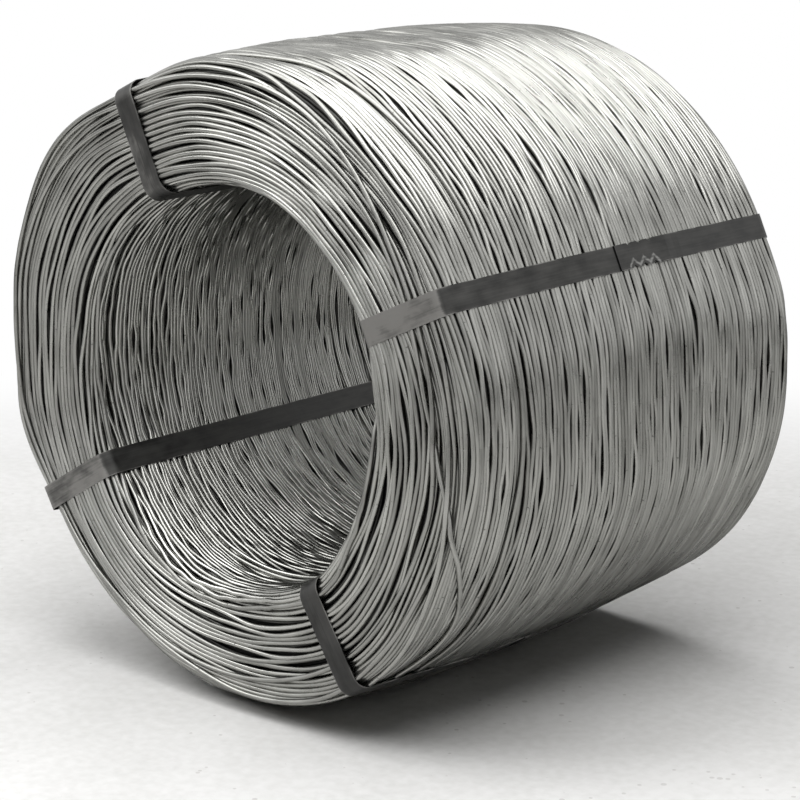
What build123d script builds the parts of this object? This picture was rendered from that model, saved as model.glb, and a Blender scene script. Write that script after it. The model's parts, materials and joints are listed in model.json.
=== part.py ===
# A strapped coil of round steel wire rod, lying on its side on a level floor.
# The rod's turns together are one turned solid with an open bore, and its end faces and outside show
# them as rings. Four flat steel straps each run through the bore, over both end faces and along the
# outside, where their ends lap and are held by pairs of notches.
# +Y runs along the coil from its near end to its far end, +Z is up, and the origin is on the floor
# under the middle of the coil.

import os
from math import atan, cos, degrees, sin, sqrt

from build123d import *

# The coil, in millimetres
bore_diameter = 508.0
outside_diameter = 824.0  # at the middle of its length, where loose turns bow out
coil_length = 630.0
barrel_bow = 12.0  # how much smaller the radius is at the ends
barrel_middle = 220.0  # length of the middle, which doesn't taper
bore_rounding = 20.0  # where an end face turns into the bore
outside_rounding = 18.0  # where an end face turns into the outside
ring_spacing = 27.0  # from crest to crest on an end face: five turns of 5.5 mm rod side by side
ring_relief = 3.5  # depth of the valley between two crests
barrel_ring_spacing = 85.0  # from crest to crest along the outside
barrel_ring_relief = 4.2  # depth of a valley there

# The straps, in millimetres, and their places round the coil in degrees from +X towards +Z
strap_width = 32.0
strap_thickness = 1.0
strap_clearance = 0.1  # from a strap to the turns under it
strap_bedding = 0.45  # how far a tight strap's edges sink into the turns of the bore
strap_places = {"strap_right": 25.0, "strap_top": 115.5, "strap_left": 211.0, "strap_bottom": 303.0}

# The lap joint of a strap, in millimetres
lap_start = -14.0  # from the middle of the coil to the strap's outer end, along +Y
lap_clearance = 0.05  # between the two layers
joggle_gap = 2.0  # from the strap's hidden inner end to where the outer layer comes down
joggle_length = 14.0
strap_rounding = 20.0  # of its slight bends: the joggle and the start of each taper
notch_pairs = 3
notch_spacing = 20.0
notch_margin = 28.0  # from each end of the lap to the nearest pair of notches
notch_width = 10.0
notch_depth = 4.0

bore_radius = bore_diameter / 2
outside_radius = outside_diameter / 2
half_length = coil_length / 2
end_radius = outside_radius - barrel_bow
taper = barrel_bow / (half_length - barrel_middle / 2)
lap_length = 2 * notch_margin + (notch_pairs - 1) * notch_spacing
on_the_floor = Pos(0, 0, outside_radius)  # the coil's own middle, above the origin


def end_outline():
    """The near end face in section, radius along X and the coil's axis along Y: a round out of the
    bore, a straight run and a round into the taper of the outside."""
    lean = atan(taper)
    setback = outside_rounding * (1 - sin(lean)) / cos(lean)
    bore_turn = (bore_radius + bore_rounding, bore_rounding - half_length)
    outside_turn = (end_radius - setback, outside_rounding - half_length)
    face = Line((bore_turn[0], -half_length), (outside_turn[0], -half_length))
    bore_arc = CenterArc(bore_turn, bore_rounding, 180, 90)
    outside_arc = CenterArc(outside_turn, outside_rounding, 270, 90 - degrees(lean))
    return Wire([bore_arc, face, outside_arc])


def ringed_end():
    """The points of the near end face in section: crests on its outline, with valleys between."""
    outline = end_outline()
    rings = round(outline.length / ring_spacing)
    points = []
    for half_ring in range(2 * rings + 1):
        along = half_ring / (2 * rings)
        inward = (outline % along).rotate(Axis.Z, 90)
        points.append(outline @ along + inward * ring_relief * (half_ring % 2))
    return points


def ringed_outside(near_edge):
    """The points of the outside in section, from one end's round to the other's: crests on its tapers
    and its straight middle, with valleys between."""
    rings = round(-2 * near_edge.Y / barrel_ring_spacing)
    points = []
    for half_ring in range(1, 2 * rings):
        along = near_edge.Y * (1 - half_ring / rings)
        crest = min(outside_radius, end_radius + taper * (half_length - abs(along)))
        points.append((crest - barrel_ring_relief * (half_ring % 2), along))
    return points


def strap_path():
    """The middle of a strap's thickness in section, from its hidden inner end round to its outer end.
    The flat strap bridges the hollow of the bore, so there its edges come nearest to the turns."""
    gap = strap_clearance + strap_thickness / 2
    bridge = bore_radius - sqrt(bore_radius**2 - (strap_width / 2) ** 2)
    inner = bore_radius - bridge + strap_bedding - gap
    outer = outside_radius + gap
    raised = outer + strap_thickness + lap_clearance
    end = half_length + gap
    middle = barrel_middle / 2
    outer_at_end = outer - taper * (end - middle)
    inner_end = lap_start + lap_length
    joggle_top = inner_end + joggle_gap
    points = [
        (outer, inner_end),
        (outer, -middle),
        (outer_at_end, -end),
        (inner, -end),
        (inner, end),
        (outer_at_end, end),
        (outer, middle),
        (outer, joggle_top + joggle_length),
        (raised, joggle_top),
        (raised, lap_start),
    ]
    outside_bend = outside_rounding + gap
    bore_bend = bore_rounding + gap
    soft = strap_rounding
    bends = [soft, outside_bend, bore_bend, bore_bend, outside_bend, soft, soft, soft]
    return FilletPolyline(*points, radius=bends)


def strap_band(place, growth=0.0):
    """A strap's cross-section carried along its path and turned to its place round the coil."""
    path = strap_path()
    start = Plane(origin=path @ 0, x_dir=(1, 0, 0), z_dir=path % 0)
    band = sweep(start * Rectangle(strap_thickness + growth, strap_width + growth), path)
    return Rot(0, -place, 0) * band


def notch_cutters(place):
    """V-shaped cutters at both edges of a strap, one pair after another along the lap."""
    depth = 2 * (2 * strap_thickness + lap_clearance)
    middle = Plane.YZ.offset(outside_radius + strap_clearance + strap_thickness)
    cutters = []
    for pair in range(notch_pairs):
        along = lap_start + notch_margin + pair * notch_spacing
        for side in (1, -1):
            edge = side * strap_width / 2
            beyond = edge + side * notch_depth
            tip = edge - side * notch_depth
            mouth = [(along - notch_width, beyond), (along + notch_width, beyond)]
            vee = Polyline(*mouth, (along, tip), close=True)
            cutters.append(Rot(0, -place, 0) * extrude(middle * make_face(vee), depth / 2, both=True))
    return cutters


def coil():
    """The section turned about the coil's axis, with the beds of the tight straps in its bore."""
    near_end = ringed_end()
    far_end = [Vector(point.X, -point.Y) for point in reversed(near_end)]
    outside = ringed_outside(near_end[-1])
    section = make_face(Polyline(*near_end, *outside, *far_end, close=True))
    beds = [strap_band(place, growth=strap_clearance) for place in strap_places.values()]
    return revolve(section, Axis.Y) - beds


def strap(place):
    return strap_band(place) - notch_cutters(place)


os.makedirs("parts", exist_ok=True)
export_step(on_the_floor * coil(), "parts/coil.step")
for name, place in strap_places.items():
    export_step(on_the_floor * strap(place), f"parts/{name}.step")
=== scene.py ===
import json
import math

import bpy
import numpy as np
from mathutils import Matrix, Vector


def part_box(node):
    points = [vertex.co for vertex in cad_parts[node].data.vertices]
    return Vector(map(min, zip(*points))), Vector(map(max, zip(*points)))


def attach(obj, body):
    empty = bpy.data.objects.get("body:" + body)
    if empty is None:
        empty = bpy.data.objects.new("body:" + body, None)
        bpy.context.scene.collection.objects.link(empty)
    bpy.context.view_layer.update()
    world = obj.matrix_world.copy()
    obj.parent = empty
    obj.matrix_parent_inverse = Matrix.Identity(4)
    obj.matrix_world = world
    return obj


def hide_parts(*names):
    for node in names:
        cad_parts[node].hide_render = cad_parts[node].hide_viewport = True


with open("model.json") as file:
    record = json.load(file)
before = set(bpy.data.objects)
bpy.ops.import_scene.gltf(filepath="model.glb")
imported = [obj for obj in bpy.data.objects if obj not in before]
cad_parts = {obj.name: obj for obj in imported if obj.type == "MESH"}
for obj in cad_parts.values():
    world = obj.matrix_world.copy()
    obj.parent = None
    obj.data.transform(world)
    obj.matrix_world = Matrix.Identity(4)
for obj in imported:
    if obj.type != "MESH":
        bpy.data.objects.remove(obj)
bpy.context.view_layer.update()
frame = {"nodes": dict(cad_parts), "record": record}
print("frame loaded")

# the coil's own sizes in metres, the first four read from the frame
coilLow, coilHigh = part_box("coil")
boreMount = next(mount for mount in frame["record"]["mounts"] if mount["name"] == "bore")
coil = {
    "boreRadius": boreMount["dims"]["r_mm"] / 1000,
    "middleRadius": (coilHigh.z - coilLow.z) / 2,
    "halfLength": (coilHigh.y - coilLow.y) / 2,
    "height": (coilHigh.z + coilLow.z) / 2,  # of its axis above the floor
    "bow": 0.012,  # how much smaller the radius is at the ends
    "barrelMiddle": 0.220,  # length of the middle, which doesn't taper
    "outerRounding": 0.018,
    "boreRounding": 0.020,
    "roundPoints": 25,  # of each rounding in section
    "straps": (25.0, 115.5, 211.0, 303.0),  # degrees round the coil
}
coil["endRadius"] = coil["middleRadius"] - coil["bow"]

rod = {
    "diameter": 0.0055,
    "drawnDiameter": 0.0067,  # of the five-sided tubes, whose width is 0.95 of it
    "stations": 240,  # points of one turn
    "layDepth": 0.006,  # how far under the coil's outline the turns' places are measured
    "patternShift": 7.3,  # of the surface pattern from one turn to the next, so that no two match
    "seed": 7,
}

# how turns lie on one another
laying = {
    "cellsPerRod": 10,  # of the height map, along the section
    "squeeze": 0.60,  # how near neighbours lie, in diameters, before one climbs
    "stiffness": 4,  # stations over which a turn climbs onto another
    "evenness": 3,  # stations over which a turn's line is averaged
    "pushedUp": 0.65,  # share of the way round over which a turn keeps the pitch to the last one
    "gapSoftness": (0.0012, 0.2),  # of a gap's middle: a length, and a share of the gap's width
    "skinCells": 22,  # cells and stations over which the skin over the pile is smoothed
    "skinStations": 4,
}


# A closed section of the coil: four quarter rounds joined by straight runs, pushed inwards by inset.
# At equal steps of length it gives the radius, the place along the axis and the outward way. The ends
# are the lengths at which the near face, the outside, the far face and the bore end.
def sectionCurve(inset, step):
    outer, bore, half = coil["endRadius"], coil["boreRadius"], coil["halfLength"]
    outerRound, boreRound = coil["outerRounding"], coil["boreRounding"]
    centreRadius = [bore + boreRound, outer - outerRound, outer - outerRound, bore + boreRound]
    centreAlong = [boreRound - half, outerRound - half, half - outerRound, half - boreRound]
    rounding = np.array([boreRound, outerRound, outerRound, boreRound]) - inset
    count = coil["roundPoints"]
    angle = np.radians([180, 270, 0, 90])[:, None] + np.linspace(0, math.pi / 2, count)
    out = np.stack([np.cos(angle), np.sin(angle)], -1)
    centre = np.stack([centreRadius, centreAlong], -1)[:, None]
    rows = np.concatenate([centre + rounding[:, None, None] * out, out], -1).reshape(-1, 4)
    rows = np.vstack([rows, rows[:1]])
    runs = np.linalg.norm(np.diff(rows[:, :2], axis=0), axis=1)
    length = np.concatenate([[0], np.cumsum(runs)])
    cells = int(round(length[-1] / step))
    places = np.arange(cells) * length[-1] / cells
    table = np.stack([np.interp(places, length, column) for column in rows.T])
    lastPoints = [2 * count - 1, 2 * count, 4 * count - 1, 4 * count]
    ends = dict(zip(["nearFace", "outside", "farFace", "bore"], length[lastPoints]))
    return table, ends


cellStep = rod["diameter"] / laying["cellsPerRod"]
section, regionEnds = sectionCurve(rod["layDepth"], cellStep)
sectionLength = regionEnds["bore"]
around = np.linspace(0, 2 * math.pi, rod["stations"], endpoint=False)
aroundDegrees = np.degrees(around)


# Signed distance round a loop of the given length, from half a loop behind to half a loop ahead.
def loopDistance(value, origin, length):
    return (value - origin + length / 2) % length - length / 2


# The mean of each value and its neighbours up to reach on both sides, round the loop.
def settleMean(values, reach, axis=-1):
    return np.mean([np.roll(values, shift, axis) for shift in range(-reach, reach + 1)], axis=0)


# A stiff turn can't follow every hollow: its height is the highest support nearby, averaged as far.
def settle(values, reach, axis=-1):
    highest = np.max([np.roll(values, shift, axis) for shift in range(-reach, reach + 1)], axis=0)
    return settleMean(highest, reach, axis)


# a turn's drift along the section: waves shared by neighbours, which turn in phase from place to place,
# and shorter waves of its own, the longest of which goes firstOwn times round
driftWaves = {"shared": 6, "turning": 9.0, "own": 22, "firstOwn": 7}


# Random phases of the shared waves, and how fast they turn along the section.
def newField(rng):
    count = driftWaves["shared"]
    phase = rng.uniform(0, 2 * math.pi, count)
    return {"phase": phase, "turn": rng.normal(0, driftWaves["turning"], count)}


# Waves round the coil, summed: wave number k has the size 1/k and its own phase.
def waves(phase, first):
    number = np.arange(first, first + phase.shape[0])[:, None, None]
    return (np.cos(number * around + phase[..., None]) / number).sum(0)


# Drift of turns at the given places: their shared waves plus their own.
def drift(places, kind, field, rng):
    shared = waves(field["phase"][:, None] + places * field["turn"][:, None], 1)
    ownPhase = rng.uniform(0, 2 * math.pi, (driftWaves["own"], len(places)))
    own = waves(ownPhase, driftWaves["firstOwn"])
    return kind["sharedDrift"] * shared + kind["ownDrift"] * own


# how the turns by the near corner bend away from a straight way round
cornerBend = {
    "centre": -0.015,  # of the bend, past the corner
    "faceFade": 0.17,  # along the section, towards the face
    "outsideFade": 0.26,  # and towards the outside
    "evenness": 5,  # stations over which the table is averaged
    # degrees round the coil, and distance
    "table": [
        (-160, 0.0), (-120, 0.010), (-80, 0.028), (-50, 0.038), (-36, 0.034), (-22, 0.024),
        (-15, 0.019), (-7, 0.016), (2, 0.011), (11, 0.008), (19, 0.002), (27, 0.0), (36, -0.005),
        (43, -0.008), (50, -0.013), (60, -0.010), (70, -0.006), (90, 0.0),
    ],
}


# A table's value at every station, on straight lines between its rows, then averaged.
def atStations(angle, value, evenness):
    return settleMean(np.interp(aroundDegrees, angle, value, period=360), evenness)


# The turns by the near corner bend together: the table's bend times exp(-(distance/fade)^2), the
# distance being taken from a place just inside the corner.
def bendAtCorner(lines):
    bend = atStations(*np.array(cornerBend["table"]).T, cornerBend["evenness"])
    apart = loopDistance(lines, regionEnds["nearFace"] + cornerBend["centre"], sectionLength)
    fade = np.where(apart < 0, cornerBend["faceFade"], cornerBend["outsideFade"])
    return lines + bend * np.exp(-((apart / fade) ** 2))


# long gaps by the near corner
longGaps = {
    "fade": 0.03,  # along the section, of the push on the turns beside them
    "middleEvenness": 4,  # stations over which the tables are averaged
    "widthEvenness": 2,
    # degrees round the coil, distance past the corner, and width
    "tables": [
        [(-50, -0.030, 0), (-36, -0.039, 0.004), (-22, -0.050, 0.006), (-1, -0.058, 0.008),
         (9, -0.065, 0.007), (20, -0.063, 0.005), (36, -0.060, 0)],
        [(-30, -0.012, 0), (-15, -0.015, 0.004), (-7, -0.018, 0.006), (2, -0.024, 0.008),
         (11, -0.027, 0.008), (19, -0.033, 0.007), (27, -0.034, 0.011), (36, -0.039, 0.013),
         (43, -0.041, 0.010), (58, -0.050, 0)],
        [(46, -0.031, 0), (57, -0.036, 0.008), (63, -0.036, 0.008), (69, -0.038, 0.006), (80, -0.042, 0)],
        [(50, -0.010, 0), (62, -0.015, 0.011), (69, -0.018, 0.017), (77, -0.020, 0.018),
         (84, -0.021, 0.015), (92, -0.018, 0.010), (112, -0.012, 0)],
    ],
}

# gaps of the near face at random places; pairs are the least and the most
faceGaps = {
    "count": 30,
    "width": (0.003, 0.008),
    "widest": (130.0, 400.0),  # degrees round the coil
    "reach": (10.0, 35.0),  # degrees to each side
    "cornerMargin": 0.03,  # they stay this far from the corner
    "fade": 0.02,
}

# lens-shaped gaps between two turns of the outside or the bore
lensGaps = {
    "count": 4400,
    "width": (0.0025, 0.0070),
    "widest": (0, 360),
    "reach": (2.0, 4.0),
    "cornerMargin": 0.01,
    "fade": 0.006,
    "softness": (0.0008, 0.1),
    "turnsBeside": 6,  # that are moved, on each side
}


# A long gap's width and middle line at every station, from its table.
def longGap(table):
    angle, offset, width = np.array(table).T
    middle = regionEnds["nearFace"] + atStations(angle, offset, longGaps["middleEvenness"])
    return atStations(angle, width, longGaps["widthEvenness"]), middle, longGaps["fade"]


# Random widths round the coil: width times exp(-(angle from the widest point/reach)^2).
def randomWidths(kind, rng):
    width, widest, reach = [
        rng.uniform(*kind[key], (kind["count"], 1)) for key in ("width", "widest", "reach")
    ]
    return width * np.exp(-((loopDistance(aroundDegrees, widest, 360) / reach) ** 2))


# The near face's gaps, each with its widths, a random middle line and its fade.
def nearFaceGaps(rng):
    widths = randomWidths(faceGaps, rng)
    last = regionEnds["nearFace"] - faceGaps["cornerMargin"]
    middles = rng.uniform(0, last, faceGaps["count"])
    return [(width, middle, faceGaps["fade"]) for width, middle in zip(widths, middles)]


# A gap's push on turns that lie apart from its middle: width/2 tanh(apart/soft) exp(-|apart|/fade),
# where soft is a least length plus a share of the gap's largest width.
def push(apart, width, softness, fade):
    soft = softness[0] + softness[1] * np.max(width)
    return width / 2 * np.tanh(apart / soft) * np.exp(-np.abs(apart) / fade)


# Every gap pushes the turns away from its middle line, to both sides.
def openGaps(lines, wide):
    moved = lines.copy()
    for width, middle, fade in wide:
        apart = loopDistance(lines, middle, sectionLength)
        moved += push(apart, width, laying["gapSoftness"], fade)
    return moved


# Each lens opens between a turn and the next and follows them, over a short way round: its middle line
# is their mean.
def openLenses(lines, rng):
    mean = lines.mean(1)
    nearest = regionEnds["nearFace"] + lensGaps["cornerMargin"]
    onOutside = (mean > nearest) & (mean < regionEnds["outside"])
    free = np.flatnonzero(onOutside | (mean > regionEnds["farFace"]))
    turns = np.minimum(rng.choice(free, lensGaps["count"]), len(lines) - 2)
    widths = randomWidths(lensGaps, rng)
    beside = lensGaps["turnsBeside"]
    moved = lines.copy()
    for first, width in zip(turns, widths):
        near = slice(max(first - beside, 0), first + 2 + beside)
        apart = lines[near] - (lines[first] + lines[first + 1]) / 2
        moved[near] += push(apart, width, lensGaps["softness"], lensGaps["fade"])
    return moved


# The turns rest one after another on a height map of the section round the coil: the height of a turn
# is the highest support under its width, and its own round top is then added to the map.
rodRadius = rod["diameter"] / 2
cellReach = int(rodRadius * laying["squeeze"] / cellStep)
offsets = np.arange(-cellReach, cellReach + 1)
dome = np.sqrt(rodRadius**2 - (offsets * cellStep / laying["squeeze"]) ** 2)
station = np.arange(rod["stations"])[:, None]


# The map's nearest cell to each point of the lines.
def cellsUnder(lines, pile):
    return np.round(lines / cellStep).astype(int)[..., None] % pile.shape[1]


# A line's height: the largest sum of the map and the round top's shape, settled as a stiff turn.
def heightOn(pile, lines):
    touch = pile[station, (cellsUnder(lines, pile) + offsets) % pile.shape[1]] + dome
    return settle(touch.max(-1), laying["stiffness"])


# The map becomes the larger of itself and the line's height plus the round top's shape.
def addToPile(pile, line, height):
    under = (station, (cellsUnder(line, pile) + offsets) % pile.shape[1])
    pile[under] = np.maximum(pile[under], height[:, None] + dome)


# layers of turns laid side by side: the least pitch in rod diameters, drift shared by neighbours, a
# turn's own drift, how far the gaps open, and how finely its tube is made
layers = [
    {"pitch": 1.06, "sharedDrift": 0.004, "ownDrift": 0.0026, "gaps": 0.6, "everyStation": 2, "sides": 4},
    {"pitch": 1.01, "sharedDrift": 0.009, "ownDrift": 0.0036, "gaps": 1.0, "everyStation": 1, "sides": 5},
]

# turns that lie loose on top
loose = {
    "count": 8,
    "tries": 60,  # to find a low place for each
    "peakWeight": 0.6,  # of the highest point beside the mean height
    "sharedDrift": 0.009,
    "ownDrift": 0.0030,
    "everyStation": 1,
    "sides": 5,
}

# single turns that cross the gaps: degrees round the coil and distance past the corner
crossing = {
    "evenness": 5,
    "tables": [
        [(150, -0.030), (16, -0.066), (2, -0.060), (-7, -0.041), (-14, -0.020), (-24, 0.006),
         (-33, 0.045), (-39, 0.055), (-90, 0.020)],
        [(140, -0.010), (50, -0.052), (20, -0.041), (14, -0.038), (5, -0.033), (-4, -0.030),
         (-13, -0.024), (-31, -0.013), (-42, -0.006), (-80, 0.010)],
        [(125, -0.008), (95, -0.020), (75, -0.018), (60, -0.028), (40, -0.050), (20, -0.055),
         (-60, -0.040)],
    ],
}


# A layer is laid like winding: each turn is pushed up to the one before, so that they are at least the
# pitch apart over most of the way round, and gaps are left where they drift apart.
def layLayer(pile, layer, wide, rng):
    field, place, before, laid = newField(rng), 0.0, None, []
    opened = [(width * layer["gaps"], middle, fade) for width, middle, fade in wide]
    while place < sectionLength - rod["diameter"]:
        shape = drift(np.array([place]), layer, field, rng)[0]
        if before is not None:
            reached = np.quantile(before - shape, laying["pushedUp"])
            place = reached + layer["pitch"] * rod["diameter"]
        before = place + shape
        line = settleMean(openGaps(bendAtCorner(before), opened), laying["evenness"])
        height = heightOn(pile, line)
        addToPile(pile, line, height)
        laid.append((line, height))
    return laid


# A loose turn takes the lowest of several tries.
def layLoose(pile, wide, rng):
    field, laid = newField(rng), []
    for turn in range(loose["count"]):
        tries = rng.uniform(0, sectionLength, loose["tries"])
        lines = bendAtCorner(tries[:, None] + drift(tries, loose, field, rng))
        lines = settleMean(openGaps(lines, wide), laying["evenness"])
        height = heightOn(pile, lines)
        best = np.argmin(height.mean(-1) + loose["peakWeight"] * height.max(-1))
        addToPile(pile, lines[best], height[best])
        laid.append((lines[best], height[best]))
    return laid


# A crossing turn follows its table, on straight lines between the rows, then averaged.
def layCrossing(pile, table):
    angle, offset = np.array(table).T
    line = regionEnds["nearFace"] + np.interp(aroundDegrees, angle, offset, period=360)
    line = settleMean(line, crossing["evenness"])
    height = heightOn(pile, line)
    addToPile(pile, line, height)
    return line, height


# The turns in groups (the inner layer, the outer layer and those on top), each with its places along
# the section and its depths under the skin. The skin is smooth, lies over the pile and becomes the
# coil's outline.
def layTurns():
    rng = np.random.default_rng(rod["seed"])
    pile = np.zeros((rod["stations"], section.shape[1]))
    wide = [longGap(table) for table in longGaps["tables"]] + nearFaceGaps(rng)
    groups = [layLayer(pile, layer, wide, rng) for layer in layers]
    onTop = layLoose(pile, wide, rng)
    onTop += [layCrossing(pile, table) for table in crossing["tables"]]
    skin = settle(settle(pile, laying["skinCells"], 1), laying["skinStations"], 0)
    found = []
    for laid in [*groups, onTop]:
        lines, heights = (np.array(column) for column in zip(*laid))
        cells = cellsUnder(lines, pile)[..., 0]
        found.append((lines, skin[station[:, 0], cells] - heights))
    lines, depths = found[1]
    found[1] = (openLenses(lines, rng), depths)
    return found, skin


turnGroups, skin = layTurns()
print("laid", [len(lines) for lines, depths in turnGroups], "turns")

# how loose turns swell out in the four spaces between straps: at the near end, in the middle and at
# the far end
swell = {
    "outward": [(0.010, 0.012, -0.004), (0.022, 0.014, 0.004), (-0.002, 0.014, 0.0), (0.0, 0.010, 0.015)],
    "intoBore": [(0.0, 0.0, 0.0), (0.0, 0.0, 0.0), (0.002, 0.0, 0.0), (0.016, 0.004, 0.0)],
    "strapReach": 15.0,  # degrees from a strap to where they are nearly free
    "boxMargin": 0.0004,  # they stay this far inside the coil's own box
    "boxSoftness": 0.004,
}


# Swelling at angles and places along the axis: the numbers of the space between two straps at the
# near end, middle and far end, joined by a parabola, times 1 - exp(-(angle to a strap/reach)^2).
def swelling(kind, angle, along):
    degrees = np.degrees(angle) % 360
    straps = np.array(coil["straps"])
    space = (np.searchsorted(straps, degrees) - 1) % 4
    nearest = np.min([np.abs(loopDistance(degrees, strap, 360)) for strap in straps], axis=0)
    free = 1 - np.exp(-((nearest / swell["strapReach"]) ** 2))
    near, middle, far = np.moveaxis(np.array(swell[kind])[space], -1, 0)
    t = along / coil["halfLength"]
    return free * (middle + t * (far - near) / 2 + t**2 * ((far + near) / 2 - middle))


# Points of the coil from places along the section, angles round it and depths under its outline. The
# outline bows out along the axis, swells between straps and never passes the coil's own box: there the
# swelling is a soft least of itself and the room, room - s log(1 + exp((room - swelling)/s)).
def coilPoints(places, angle, depth):
    cells = np.arange(section.shape[1] + 1) * sectionLength / section.shape[1]
    closed = np.concatenate([section, section[:, :1]], 1)
    radius, along, outRadius, outAlong = [
        np.interp(places % sectionLength, cells, column) for column in closed
    ]
    radius = radius + outRadius * (rod["layDepth"] - depth)
    along = along + outAlong * (rod["layDepth"] - depth)
    angle = np.broadcast_to(angle, radius.shape)
    cosine, sine = np.cos(angle), np.sin(angle)
    taper = (coil["halfLength"] - np.abs(along)) / (coil["halfLength"] - coil["barrelMiddle"] / 2)
    outward = coil["bow"] * np.clip(taper, 0, 1) + swelling("outward", angle, along)
    limit = (coil["middleRadius"] - swell["boxMargin"]) / np.maximum(np.abs(cosine), np.abs(sine))
    room, soft = limit - coil["endRadius"], swell["boxSoftness"]
    outward = room - soft * np.log1p(np.exp((room - outward) / soft))
    outer = np.clip((radius - coil["boreRadius"]) / (coil["endRadius"] - coil["boreRadius"]), 0, 1)
    radius = radius + outer * outward - (1 - outer) * swelling("intoBore", angle, along)
    points = np.stack([radius * cosine, along, radius * sine + coil["height"]], -1)
    out = np.stack([outRadius * cosine, outAlong, outRadius * sine], -1)
    return points, out


# A mesh from a grid of quads, given as corner indices, with shared smooth corners.
def quadMesh(name, points, quads):
    mesh = bpy.data.meshes.new(name)
    mesh.vertices.add(len(points))
    mesh.vertices.foreach_set("co", points.astype(np.float32).ravel())
    mesh.loops.add(quads.size)
    mesh.loops.foreach_set("vertex_index", quads.astype(np.int32).ravel())
    mesh.polygons.add(len(quads))
    mesh.polygons.foreach_set("loop_start", np.arange(0, quads.size, 4, dtype=np.int32))
    mesh.update(calc_edges=True)
    mesh.shade_smooth()
    piece = bpy.data.objects.new(name, mesh)
    bpy.context.scene.collection.objects.link(piece)
    return piece


# Corner indices of quads on a grid that closes on itself both ways.
def closedGrid(rows, columns):
    row, column = np.meshgrid(np.arange(rows), np.arange(columns), indexing="ij")
    nextRow, nextColumn = (row + 1) % rows, (column + 1) % columns
    corners = [row * columns + column, nextRow * columns + column]
    corners += [nextRow * columns + nextColumn, row * columns + nextColumn]
    return np.stack(corners, -1).reshape(-1, 4)


# Round rods carried along closed paths: each ring is the path's point plus radius times
# (cos v up + sin v side), where side is square to the path and to the outward way, and up to both.
# The UV map has the length along the turn, plus a shift of its own, and the share of the way round it.
def rodTubes(lines, out, sides):
    turns, stations = lines.shape[:2]
    ahead = np.roll(lines, -1, 1) - np.roll(lines, 1, 1)
    side = np.cross(ahead, out)
    side /= np.linalg.norm(side, axis=-1, keepdims=True)
    up = np.cross(side, ahead)
    up /= np.linalg.norm(up, axis=-1, keepdims=True)
    angle = np.linspace(0, 2 * math.pi, sides, endpoint=False)[:, None]
    ring = np.cos(angle) * up[:, :, None] + np.sin(angle) * side[:, :, None]
    points = lines[:, :, None] + rod["drawnDiameter"] / 2 * ring
    firstCorner = np.arange(turns)[:, None, None] * stations * sides
    quads = (firstCorner + closedGrid(stations, sides)).reshape(-1, 4)
    step = np.linalg.norm(np.diff(lines, axis=1), axis=-1).mean(1)[:, None, None]
    row, column = np.meshgrid(np.arange(stations), np.arange(sides), indexing="ij")
    along = np.stack([row, row + 1, row + 1, row], -1) * step[..., None]
    across = np.stack([column, column, column + 1, column + 1], -1) / sides
    shift = np.arange(turns)[:, None, None, None] * rod["patternShift"]
    uv = np.stack([along + shift, np.broadcast_to(across, along.shape)], -1)
    return points.reshape(-1, 3), quads, uv.reshape(-1, 2)


# Tubes of several groups joined in one piece, each point with its turn's tone.
def rodPiece(name, tubes, tones):
    starts = np.cumsum([0] + [len(points) for points, quads, uv in tubes])
    points = np.concatenate([points for points, quads, uv in tubes])
    quads = np.concatenate([quads + start for (points, quads, uv), start in zip(tubes, starts)])
    piece = quadMesh(name, points, quads)
    layer = piece.data.uv_layers.new(name="alongTurn")
    uv = np.concatenate([uv for points, quads, uv in tubes])
    layer.data.foreach_set("uv", uv.astype(np.float32).ravel())
    attribute = piece.data.attributes.new("turnToneAndShade", "FLOAT", "POINT")
    attribute.data.foreach_set("value", np.concatenate(tones).astype(np.float32))
    return piece


def newMaterial(name):
    material = bpy.data.materials.new(name)
    material.use_nodes = True
    return material, material.node_tree, material.node_tree.nodes["Principled BSDF"]


# A node's input values; one given as a socket is linked.
def setInputs(tree, node, inputs):
    for name, value in inputs.items():
        if isinstance(value, bpy.types.NodeSocket):
            tree.links.new(value, node.inputs[name])
        else:
            node.inputs[name].default_value = value


def addNode(tree, kind, inputs, **settings):
    node = tree.nodes.new("ShaderNode" + kind)
    for name, value in settings.items():
        setattr(node, name, value)
    setInputs(tree, node, inputs)
    return node


# Coordinates fixed to the object.
def objectPlace(tree):
    return addNode(tree, "TexCoord", {}).outputs["Object"]


# Noise in coordinates stretched by scale.
def stretchedNoise(tree, coordinates, scale, detail=3.0):
    place = addNode(tree, "Mapping", {"Vector": coordinates, "Scale": scale}).outputs[0]
    noise = addNode(tree, "TexNoise", {"Vector": place, "Scale": 1.0, "Detail": detail})
    return noise.outputs["Fac"]


def mapRange(tree, value, fromMin, fromMax, toMin, toMax):
    limits = {"Value": value, "From Min": fromMin, "From Max": fromMax, "To Min": toMin, "To Max": toMax}
    return addNode(tree, "MapRange", limits).outputs["Result"]


def calculate(tree, operation, first, second, third=0.0):
    inputs = {0: first, 1: second, 2: third}
    return addNode(tree, "Math", inputs, operation=operation).outputs[0]


# How far a value is from a place, without sign.
def distanceFrom(tree, value, place):
    return calculate(tree, "ABSOLUTE", calculate(tree, "SUBTRACT", value, place), 0.0)


# A ramp through two colours and any between them, given with their places.
def colourRamp(tree, value, first, last, *between):
    ramp = addNode(tree, "ValToRGB", {"Fac": value})
    stops = ramp.color_ramp.elements
    stops[0].color, stops[1].color = first, last
    for place, colour in between:
        stops.new(place).color = colour
    return ramp.outputs["Color"]


# One colour laid over another by an amount; 6 and 7 are the Mix node's sockets for colours.
def colourOver(tree, amount, under, over):
    inputs = {"Factor": amount, 6: under, 7: over}
    return addNode(tree, "Mix", inputs, data_type="RGBA").outputs[2]


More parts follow.
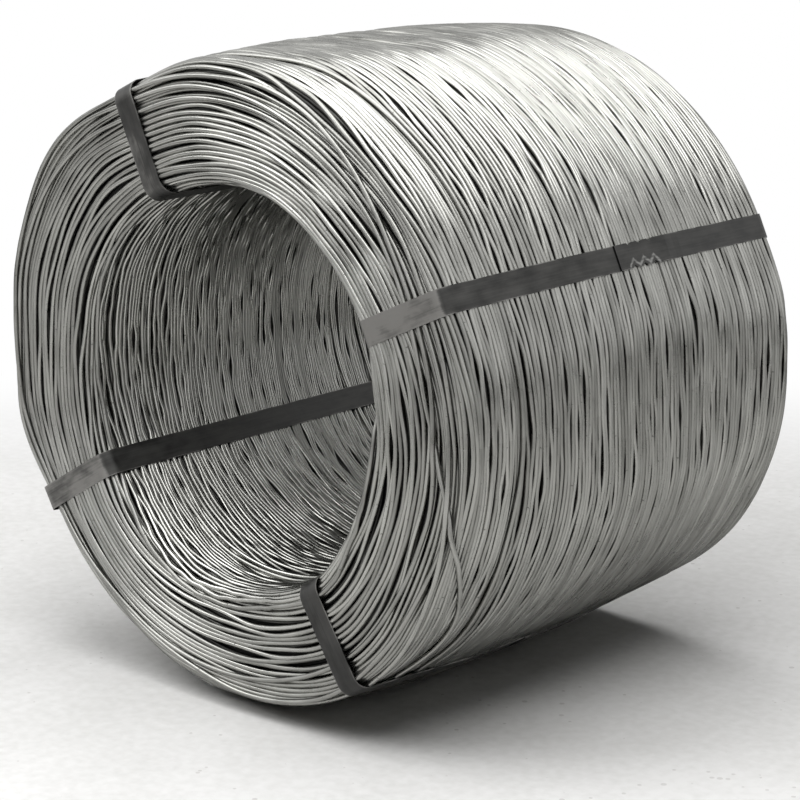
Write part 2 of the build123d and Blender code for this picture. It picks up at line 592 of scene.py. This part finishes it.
rodLook = {
    "inner": (0.035, 0.035, 0.033, 1),  # painted shade: the near-black colour of the turns under the others, which darkens the gaps between the turns on top
    "dark": (0.205, 0.205, 0.192, 1),
    "pale": (0.43, 0.43, 0.407, 1),
    "millScale": (0.05, 0.05, 0.047, 1),
    "darkPlace": 0.42,  # of the dark colour on the ramp from inner to pale
    "toneRange": (0.2, 2.0),  # of the whole tone over that ramp
    "roughness": (0.24, 0.44),
    "roughRange": (0.55, 1.05),  # of the patterns' sum, from the smoothest to the roughest
    "streaks": (22, 1.6, 1),  # how fine each pattern is along the turn and across it
    "specks": (260, 3, 1),
    "grain": (500, 9, 1),
    "patches": (16, 26, 16),  # and in space
    "speckRange": (0.66, 0.74),  # of their noise, from bare to scaled
    "speckAmount": 0.7,
    "speckRoughness": 0.3,  # added where the specks are full
    "toneRoughness": -0.5,  # a brighter turn is a smoother one
    "grainStrength": 0.25,
    "grainDepth": 0.0002,
    "toneShape": 4,  # the turns' own tones are spread less widely the larger it is
    "boreLitTone": 0.25,  # the turns of the bore are painted brighter, as painted light
    "innerShadeTone": -1.25,  # and the inner layer is painted dark, as painted shade in the gaps
}


# Drawn-out steel: the tone is each turn's own, with painted light on the bore's turns and painted shade
# on the inner layer, plus streaks along it and soft patches across turns.
def rodSteel():
    material, tree, shader = newMaterial("brightRodSteel")
    alongTurn = addNode(tree, "UVMap", {}, uv_map="alongTurn").outputs["UV"]
    turnToneAndShade = addNode(tree, "Attribute", {}, attribute_name="turnToneAndShade").outputs["Fac"]
    streaks = stretchedNoise(tree, alongTurn, rodLook["streaks"])
    patches = stretchedNoise(tree, objectPlace(tree), rodLook["patches"], 4.0)
    tone = calculate(tree, "ADD", calculate(tree, "ADD", turnToneAndShade, streaks), patches)
    tone = mapRange(tree, tone, *rodLook["toneRange"], 0.0, 1.0)
    dark = (rodLook["darkPlace"], rodLook["dark"])
    steel = colourRamp(tree, tone, rodLook["inner"], rodLook["pale"], dark)
    specks = stretchedNoise(tree, alongTurn, rodLook["specks"])
    speckAmount = mapRange(tree, specks, *rodLook["speckRange"], 0.0, rodLook["speckAmount"])
    rough = calculate(tree, "ADD", patches, streaks)
    rough = calculate(tree, "MULTIPLY_ADD", turnToneAndShade, rodLook["toneRoughness"], rough)
    rough = mapRange(tree, rough, *rodLook["roughRange"], *rodLook["roughness"])
    rough = calculate(tree, "MULTIPLY_ADD", speckAmount, rodLook["speckRoughness"], rough)
    grain = stretchedNoise(tree, alongTurn, rodLook["grain"])
    bump = {"Strength": rodLook["grainStrength"], "Distance": rodLook["grainDepth"], "Height": grain}
    setInputs(tree, shader, {
        "Base Color": colourOver(tree, speckAmount, steel, rodLook["millScale"]),
        "Metallic": 1.0,
        "Roughness": rough,
        "Normal": addNode(tree, "Bump", bump).outputs["Normal"],
    })
    return material


# turns go into pieces by the part of the section on which they lie
nearCorner, farCorner = regionEnds["nearFace"], regionEnds["outside"]
third = (farCorner - nearCorner) / 3
boreMiddle = (regionEnds["farFace"] + sectionLength) / 2
pieceRanges = {
    "nearFaceTurns": (0, nearCorner),
    "outsideNearTurns": (nearCorner, nearCorner + third),
    "outsideMiddleTurns": (nearCorner + third, nearCorner + 2 * third),
    "outsideFarTurns": (nearCorner + 2 * third, farCorner),
    "farFaceTurns": (farCorner, regionEnds["farFace"]),
    "boreFarTurns": (regionEnds["farFace"], boreMiddle),
    "boreNearTurns": (boreMiddle, sectionLength),
}


# A random tone for every turn, with the bore's turns painted brighter as painted light and the inner
# layer painted dark as painted shade.
def turnTones():
    rng = np.random.default_rng(rod["seed"] + 1)
    tones = []
    for lines, depths in turnGroups:
        inBore = lines.mean(1) % sectionLength > regionEnds["farFace"]
        tone = rng.beta(rodLook["toneShape"], rodLook["toneShape"], len(lines))
        # painted light: the bore's turns are made brighter
        tones.append(tone + rodLook["boreLitTone"] * inBore)
    # painted shade: the inner layer's turns are made darker so that the gaps between the turns on top
    # look dark
    tones[0] += rodLook["innerShadeTone"]
    return tones


# The tubes and point tones of all turns whose mean place lies in a range of the section.
def tubesBetween(first, last, groupTones):
    tubes, tones = [], []
    for (lines, depths), tone, kind in zip(turnGroups, groupTones, [*layers, loose]):
        mean = lines.mean(1) % sectionLength
        chosen = (mean >= first) & (mean < last)
        if not chosen.any():
            continue
        every = slice(None, None, kind["everyStation"])
        path, out = coilPoints(lines[chosen][:, every], around[every], depths[chosen][:, every])
        tubes.append(rodTubes(path, out, kind["sides"]))
        tones.append(np.repeat(tone[chosen], path.shape[1] * kind["sides"]))
    return tubes, tones


steel = rodSteel()
groupTones = turnTones()
for name, (first, last) in pieceRanges.items():
    piece = rodPiece(name, *tubesBetween(first, last, groupTones))
    piece.data.materials.append(steel)
    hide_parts("coil")
    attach(piece, "root")
    print(name, 2 * len(piece.data.polygons), "triangles")

# the plain core under the turns, whose near-black colour is painted shade standing for the deep turns
innerTurns = {
    "cellsApart": 24,  # between its points along the section
    "stationsApart": 3,  # and round the coil
    "dark": (0.010, 0.010, 0.009, 1),
    "pale": (0.035, 0.035, 0.033, 1),
    "patches": (40, 300, 40),
    "roughness": 0.8,
}


def coreSteel():
    material, tree, shader = newMaterial("shadedInnerTurns")
    patches = stretchedNoise(tree, objectPlace(tree), innerTurns["patches"])
    # painted shade: the core's near-black colour stands for the shaded turns deep in the pile
    colour = colourRamp(tree, patches, innerTurns["dark"], innerTurns["pale"])
    setInputs(tree, shader, {"Base Color": colour, "Roughness": innerTurns["roughness"]})
    return material


# The core's points are the coil's at the floor of the pile, which lies under the skin by its height.
coreRows = np.arange(0, section.shape[1], innerTurns["cellsApart"])
coreColumns = np.arange(0, rod["stations"], innerTurns["stationsApart"])
corePlaces = coreRows * sectionLength / section.shape[1]
coreGrid = np.meshgrid(corePlaces, around[coreColumns], indexing="ij")
corePoints, coreOut = coilPoints(*coreGrid, skin[np.ix_(coreColumns, coreRows)].T)
coreQuads = closedGrid(len(coreRows), len(coreColumns))
core = quadMesh("innerTurnsCore", corePoints.reshape(-1, 3), coreQuads)
core.data.materials.append(coreSteel())
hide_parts("coil")
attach(core, "root")
print("core made")

strapLook = {
    "width": 0.032,
    "lapStart": -0.014,  # of the outer layer, along the coil
    "plain": (0.028, 0.028, 0.027, 1),
    "rubbed": (0.070, 0.069, 0.066, 1),
    # the colour of the painted sheen on the span over the near face
    "sheenOnFace": (0.21, 0.205, 0.195, 1),
    "wornEdge": (0.26, 0.255, 0.245, 1),
    "bareMetal": (0.25, 0.25, 0.24, 1),
    # painted shadow under the outer layer's cut end
    "cutEndShadow": (0.004, 0.004, 0.004, 1),
    # how far a strap's span over the near face is painted paler, as a painted sheen
    "faceSheenShare": {"strap_right": 0.8, "strap_top": 0.3, "strap_left": 0.6},
    "faceStart": (0.004, 0.001),  # how far from the coil's end that span's painted sheen begins and is full
    "streakShare": 0.4,  # of the streaks beside the patches
    "rubbedRange": (0.50, 0.95),  # of the patterns' sum, from plain to rubbed
    "rubbedAmount": 0.6,
    "rubbedPlace": 0.6,  # of the rubbed colour on the ramp from plain to the painted sheen of the near face
    "edgeWear": (0.0012, 0.0002),  # how far from an edge it starts and is full
    "wearRange": (0.45, 0.60),  # of the patches, from no wear to the most
    "wearAmount": 0.8,
    "outsideStart": (0.004, 0.002),  # how far under the coil's largest radius the outside begins
    "cutShadowLine": (0.0008, 0.0018),  # half the width of the painted shadow line at the cut end, full and faded
    "metallic": 0.75,
    "roughness": (0.36, 0.58),
    "roughRange": (0.3, 0.7),  # of the patches
    "streaks": (14, 14, 420),  # how fine: out from the axis, along the coil and across the strap
    "patches": (30, 30, 60),
    "streakDepth": 0.0003,
}

# the crimped marks of a lap: a zigzag line
crimpMarks = {
    "count": 3,
    "spacing": 0.020,
    "first": 0.028,  # from the lap's start
    "slope": 0.85,
    "offset": -0.0145,  # across the strap
    "wander": 0.016,
    "halfWidth": (0.0010, 0.0032),  # of its bright middle and of all of it
    "endFade": 0.001,  # to each side of the first and last mark's end
    "streakRange": (0.35, 0.55),  # of the streaks, from its least brightness to full
    "least": 0.35,
}


# The zigzag's brightness: the distance across from a triangle wave along the lap, within the lap.
def crimpedLine(tree, along, across, streaks, patches):
    start = strapLook["lapStart"] + crimpMarks["first"] - crimpMarks["spacing"] / 2
    lap = calculate(tree, "SUBTRACT", along, start)
    wave = calculate(tree, "PINGPONG", lap, crimpMarks["spacing"] / 2)
    crest = calculate(tree, "MULTIPLY_ADD", wave, crimpMarks["slope"], crimpMarks["offset"])
    wander = calculate(tree, "MULTIPLY_ADD", patches, crimpMarks["wander"], -crimpMarks["wander"] / 2)
    aside = distanceFrom(tree, across, calculate(tree, "ADD", crest, wander))
    line = mapRange(tree, aside, *crimpMarks["halfWidth"], 1.0, 0.0)
    bright = mapRange(tree, streaks, *crimpMarks["streakRange"], crimpMarks["least"], 1.0)
    line = calculate(tree, "MULTIPLY", line, bright)
    half, fade = crimpMarks["count"] * crimpMarks["spacing"] / 2, crimpMarks["endFade"]
    inLap = mapRange(tree, distanceFrom(tree, lap, half), half - fade, half + fade, 1.0, 0.0)
    return calculate(tree, "MULTIPLY", line, inLap)


# Dark strap steel, in coordinates turned with the strap: out from the axis, along the coil and across the
# strap. It is rubbed in streaks along the strap, painted paler over the near face as a painted sheen,
# worn bare at the edges and given a painted shadow at the outer layer's cut end, and its crimped marks
# are bright.
def strapSteel(name, angle):
    material, tree, shader = newMaterial("darkStrapSteel_" + name)
    axis = {"Location": (0, 0, coil["height"]), "Rotation": (0, -math.radians(angle), 0)}
    turned = {"Vector": objectPlace(tree), **axis}
    own = addNode(tree, "Mapping", turned, vector_type="TEXTURE").outputs[0]
    out, along, across = addNode(tree, "SeparateXYZ", {"Vector": own}).outputs
    streaks = stretchedNoise(tree, own, strapLook["streaks"], 4.0)
    patches = stretchedNoise(tree, own, strapLook["patches"], 5.0)

    rubbed = calculate(tree, "MULTIPLY_ADD", streaks, strapLook["streakShare"], patches)
    rubbed = mapRange(tree, rubbed, *strapLook["rubbedRange"], 0.0, 1.0)
    faceLimits = [inside - coil["halfLength"] for inside in strapLook["faceStart"]]
    # painted sheen: the span over the near face is made paler, on top of the rubbed wear
    nearFace = mapRange(tree, along, *faceLimits, 0.0, strapLook["faceSheenShare"].get(name, 0.0))
    rubbed = calculate(tree, "MULTIPLY_ADD", rubbed, strapLook["rubbedAmount"], nearFace)
    streaked = (strapLook["rubbedPlace"], strapLook["rubbed"])
    colour = colourRamp(tree, rubbed, strapLook["plain"], strapLook["sheenOnFace"], streaked)

    wearLimits = [strapLook["width"] / 2 - reach for reach in strapLook["edgeWear"]]
    edge = mapRange(tree, calculate(tree, "ABSOLUTE", across, 0.0), *wearLimits, 0.0, 1.0)
    wear = mapRange(tree, patches, *strapLook["wearRange"], 0.0, strapLook["wearAmount"])
    edge = calculate(tree, "MULTIPLY", edge, wear)
    colour = colourOver(tree, edge, colour, strapLook["wornEdge"])

    outsideLimits = [coil["middleRadius"] - under for under in strapLook["outsideStart"]]
    outside = mapRange(tree, out, *outsideLimits, 0.0, 1.0)
    marked = crimpedLine(tree, along, across, streaks, patches)
    marked = calculate(tree, "MULTIPLY", marked, outside)
    colour = colourOver(tree, marked, colour, strapLook["bareMetal"])

    # painted shadow: a dark line just before the outer layer's cut end
    cut = distanceFrom(tree, along, strapLook["lapStart"] - strapLook["cutShadowLine"][0])
    cut = mapRange(tree, cut, *strapLook["cutShadowLine"], 1.0, 0.0)
    cut = calculate(tree, "MULTIPLY", cut, outside)

    bump = {"Strength": 0.15, "Distance": strapLook["streakDepth"], "Height": streaks}
    setInputs(tree, shader, {
        "Base Color": colourOver(tree, cut, colour, strapLook["cutEndShadow"]),
        "Metallic": strapLook["metallic"],
        "Roughness": mapRange(tree, patches, *strapLook["roughRange"], *strapLook["roughness"]),
        "Normal": addNode(tree, "Bump", bump).outputs["Normal"],
    })
    return material


straps = dict(zip(["strap_right", "strap_top", "strap_left", "strap_bottom"], coil["straps"]))
for name, angle in straps.items():
    materials = frame["nodes"][name].data.materials
    materials.clear()
    materials.append(strapSteel(name, angle))
print("straps finished")

view = {
    "lens": 120.06,  # millimetres, on a sensor 36 mm wide
    "sensor": 36,
    "place": (2.302, -2.504, 1.222),
    "ahead": (-0.654, 0.714, -0.250),
}


# A turn that points a camera's or a lamp's -Z axis along a direction.
def facing(direction):
    return Vector(direction).to_track_quat("-Z", "Y")


def makeCamera():
    camera = bpy.data.objects.new("camera", bpy.data.cameras.new("camera"))
    bpy.context.scene.collection.objects.link(camera)
    camera.data.lens = view["lens"]
    camera.data.sensor_width = view["sensor"]
    camera.location = view["place"]
    camera.rotation_mode = "QUATERNION"
    camera.rotation_quaternion = facing(view["ahead"])
    bpy.context.scene.camera = camera


paleFloor = {
    "reach": 14.0,
    "dull": (0.80, 0.795, 0.78, 1),
    "pale": (0.90, 0.895, 0.885, 1),
    "clouds": (5, 5, 5),
    "grit": (70, 70, 70),
    "toneRange": (0.36, 0.60),  # of their mean, from dull to pale
    "speck": (0.42, 0.40, 0.38, 1),
    "speckAmount": 0.35,
    "speckRange": (0.45, 0.65),  # of the clouds, from the smallest specks to the largest
    "speckSize": (0.02, 0.16),  # as a share of their spacing
    "specksPerMetre": 42.0,
    "roughness": 0.8,
    "specular": 0.15,
    "whiteFrom": 0.85,  # metres from the middle, where it starts to turn white to the camera
    "whiteAt": 1.7,  # and where it is white
}


# The floor's colour: soft clouds and fine grit, with small dark specks.
def floorColour(tree, place):
    cloudy = stretchedNoise(tree, place, paleFloor["clouds"], 6.0)
    gritty = stretchedNoise(tree, place, paleFloor["grit"], 4.0)
    tone = calculate(tree, "MULTIPLY", cloudy, 0.5)
    tone = calculate(tree, "MULTIPLY_ADD", gritty, 0.5, tone)
    tone = mapRange(tree, tone, *paleFloor["toneRange"], 0.0, 1.0)
    colour = colourRamp(tree, tone, paleFloor["dull"], paleFloor["pale"])
    cells = {"Vector": place, "Scale": paleFloor["specksPerMetre"]}
    specks = addNode(tree, "TexVoronoi", cells).outputs["Distance"]
    speckSize = mapRange(tree, cloudy, *paleFloor["speckRange"], *paleFloor["speckSize"])
    speck = calculate(tree, "LESS_THAN", specks, speckSize)
    speck = calculate(tree, "MULTIPLY", speck, paleFloor["speckAmount"])
    return colourOver(tree, speck, colour, paleFloor["speck"])


# The floor's material, which the camera sees fade to white away from the coil.
def floorMaterial():
    material, tree, shader = newMaterial("paleFloor")
    place = objectPlace(tree)
    setInputs(tree, shader, {
        "Base Color": floorColour(tree, place),
        "Roughness": paleFloor["roughness"],
        "Specular IOR Level": paleFloor["specular"],
    })
    white = addNode(tree, "Emission", {"Color": (1, 1, 1, 1)}).outputs["Emission"]
    distance = addNode(tree, "VectorMath", {0: place}, operation="LENGTH").outputs["Value"]
    limits = {"Value": distance, "From Min": paleFloor["whiteFrom"], "From Max": paleFloor["whiteAt"]}
    fade = addNode(tree, "MapRange", limits, interpolation_type="SMOOTHSTEP").outputs["Result"]
    fromCamera = addNode(tree, "LightPath", {}).outputs["Is Camera Ray"]
    seen = calculate(tree, "MULTIPLY", fade, fromCamera)
    mixed = addNode(tree, "MixShader", {"Fac": seen, 1: shader.outputs["BSDF"], 2: white})
    setInputs(tree, tree.nodes["Material Output"], {"Surface": mixed.outputs["Shader"]})
    return material


def makeFloor():
    mesh = bpy.data.meshes.new("floor")
    far = paleFloor["reach"]
    corners = [(-far, -far, 0), (far, -far, 0), (far, far, 0), (-far, far, 0)]
    mesh.from_pydata(corners, [], [(0, 1, 2, 3)])
    floor = bpy.data.objects.new("floor", mesh)
    bpy.context.scene.collection.objects.link(floor)
    floor.data.materials.append(floorMaterial())


studio = {
    "worldLight": 0.02,  # on matt surfaces; the camera and reflections see white
    # name, power, place and size of each soft lamp, turned to the coil's middle
    "lamps": [
        ("overhead", 104.0, (0.42, -0.2, 2.95), (2.6, 3.8)),
        ("frontLeft", 54.0, (-1.45, -1.95, 2.5), (2.2, 2.2)),
    ],
}


def makeWorld():
    world = bpy.data.worlds.new("studio")
    bpy.context.scene.world = world
    world.use_nodes = True
    tree = world.node_tree
    rays = addNode(tree, "LightPath", {}).outputs
    seesWhite = rays["Is Camera Ray"]
    for name in ("Is Glossy Ray", "Is Transmission Ray"):
        seesWhite = calculate(tree, "MAXIMUM", seesWhite, rays[name])
    strength = mapRange(tree, seesWhite, 0.0, 1.0, studio["worldLight"], 1.0)
    setInputs(tree, tree.nodes["Background"], {"Color": (1, 1, 1, 1), "Strength": strength})


def makeLamps():
    for name, power, place, size in studio["lamps"]:
        lamp = bpy.data.objects.new(name, bpy.data.lights.new(name, "AREA"))
        bpy.context.scene.collection.objects.link(lamp)
        lamp.data.energy = power
        lamp.data.shape = "RECTANGLE"
        lamp.data.size, lamp.data.size_y = size
        lamp.location = place
        lamp.rotation_mode = "QUATERNION"
        lamp.rotation_quaternion = facing(Vector((0, 0, coil["height"])) - Vector(place))


makeCamera()
makeFloor()
makeWorld()
makeLamps()
bpy.context.scene.view_settings.view_transform = "Standard"
print("camera, floor and lights made")
